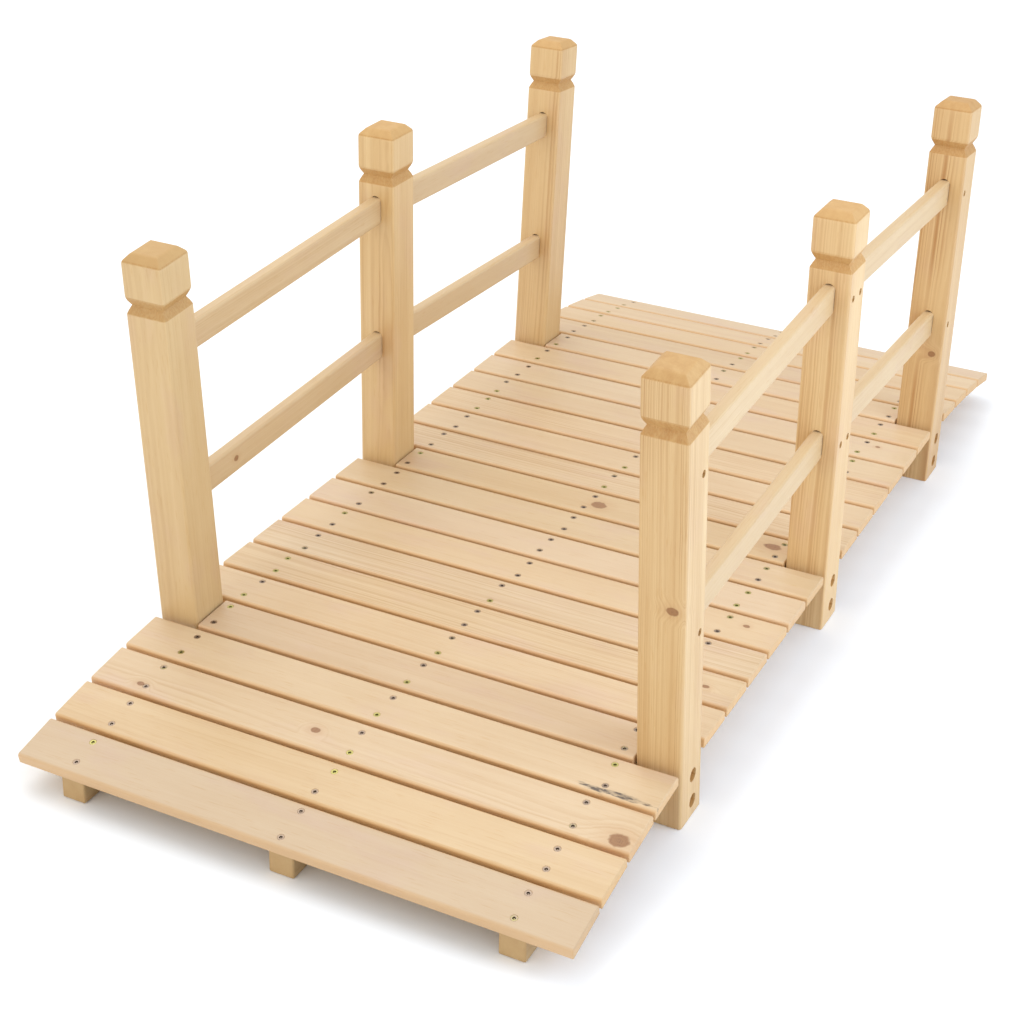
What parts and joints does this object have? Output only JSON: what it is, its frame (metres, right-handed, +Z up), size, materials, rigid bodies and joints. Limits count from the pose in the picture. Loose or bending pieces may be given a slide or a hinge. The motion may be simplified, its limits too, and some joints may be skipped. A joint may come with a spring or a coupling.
{
  "type": "garden footbridge",
  "caption": "Low wooden footbridge with a bowed deck of cross planks on stringers, grooved square posts leaning out at the ends and two rails along each side.",
  "frame": {"origin": "on the ground, under the middle of the deck", "axes": "+X runs along the bridge, +Y to its left side, +Z up"},
  "size_m": [1.4822, 0.658, 0.544],
  "materials": {
    "planks": "planed bare softwood",
    "stringers": "sawn bare softwood",
    "posts": "planed bare softwood",
    "rails": "planed bare softwood"
  },
  "bodies": {
    "root": {"plank_01": "planks", "plank_02": "planks", "plank_03": "planks", "plank_04": "planks", "plank_05": "planks", "plank_06": "planks", "plank_07": "planks", "plank_08": "planks", "plank_09": "planks", "plank_10": "planks", "plank_11": "planks", "plank_12": "planks", "plank_13": "planks", "plank_14": "planks", "plank_15": "planks", "plank_16": "planks", "plank_17": "planks", "plank_18": "planks", "plank_19": "planks", "plank_20": "planks", "plank_21": "planks", "plank_22": "planks", "plank_23": "planks", "stringer_left": "stringers", "stringer_middle": "stringers", "stringer_right": "stringers", "post_left_1": "posts", "post_left_2": "posts", "post_left_3": "posts", "post_right_1": "posts", "post_right_2": "posts", "post_right_3": "posts", "rail_left_1_upper": "rails", "rail_left_1_lower": "rails", "rail_left_2_upper": "rails", "rail_left_2_lower": "rails", "rail_right_1_upper": "rails", "rail_right_1_lower": "rails", "rail_right_2_upper": "rails", "rail_right_2_lower": "rails"}
  },
  "joints": []
}
